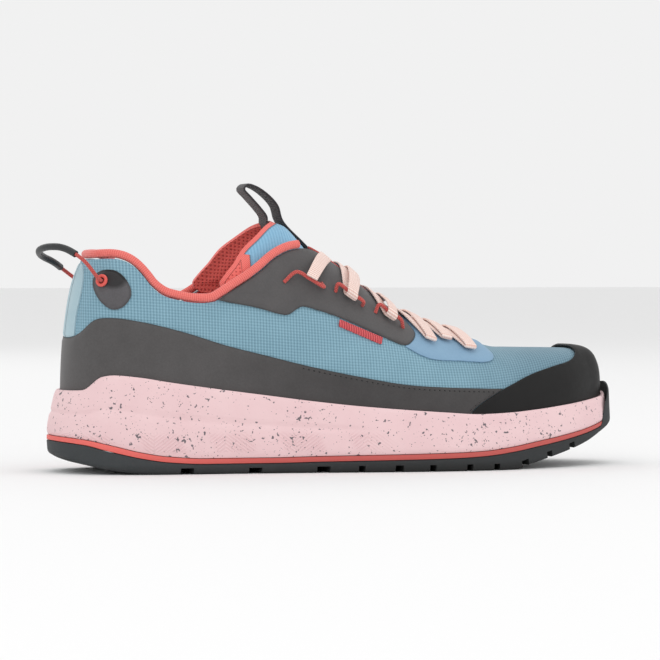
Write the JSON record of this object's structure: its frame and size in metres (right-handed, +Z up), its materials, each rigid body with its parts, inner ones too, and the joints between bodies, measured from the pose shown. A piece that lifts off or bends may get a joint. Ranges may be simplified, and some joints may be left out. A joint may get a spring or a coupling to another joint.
{
  "type": "approach shoe",
  "caption": "Low approach shoe for the right foot: hollow woven upper with rubber toe cap, padded tongue with pull loop, lacing far down the throat, and a lugged sole.",
  "frame": {"origin": "middle of the sole's length and width, on the floor", "axes": "+X towards the toe, +Y towards the medial side, +Z up"},
  "size_m": [0.2897, 0.1025, 0.1361],
  "materials": {
    "woven_upper": "fine ripstop weave, matt",
    "sole_rubber": "matt",
    "trim_rubber": "satin",
    "midsole_foam": "foam, matt, dark speckles",
    "insole_foam": "matt",
    "microfibre": "fine suede, matt",
    "toe_rubber": "satin",
    "smooth_fabric": "smooth, matt",
    "heel_fabric": "smooth, matt",
    "tongue_mesh": "smooth outside, coral mesh inside",
    "coral_binding": "knitted, matt",
    "coral_tag": "ribbed, matt",
    "patch_fabric": "matt",
    "webbing": "woven, matt",
    "lace_webbing": "woven, matt",
    "coral_cord": "braided, matt",
    "guide_plastic": "matt",
    "sleeve_plastic": "satin"
  },
  "bodies": {
    "root": {"upper": "woven_upper", "outsole": "sole_rubber", "sole_trim_layer": "trim_rubber", "midsole": "midsole_foam", "insole": "insole_foam", "mudguard": "microfibre", "toe_cap": "toe_rubber", "heel_strip": "heel_fabric", "vamp_patch": "smooth_fabric", "eyestay_lateral": "microfibre", "side_tag_lateral": "coral_tag", "heel_patch_lateral": "patch_fabric", "eyestay_medial": "microfibre", "side_tag_medial": "coral_tag", "heel_patch_medial": "patch_fabric", "tongue": "tongue_mesh", "collar_binding": "coral_binding", "tongue_webbing": "webbing", "lace": "lace_webbing", "lace_loop_lateral_1": "coral_cord", "lace_loop_lateral_2": "coral_cord", "lace_loop_lateral_3": "coral_cord", "heel_cord_guide_lateral": "guide_plastic", "lace_loop_medial_1": "coral_cord", "lace_loop_medial_2": "coral_cord", "lace_loop_medial_3": "coral_cord", "heel_cord_guide_medial": "guide_plastic", "heel_cord": "coral_cord", "heel_cord_sleeve": "sleeve_plastic"}
  },
  "joints": []
}
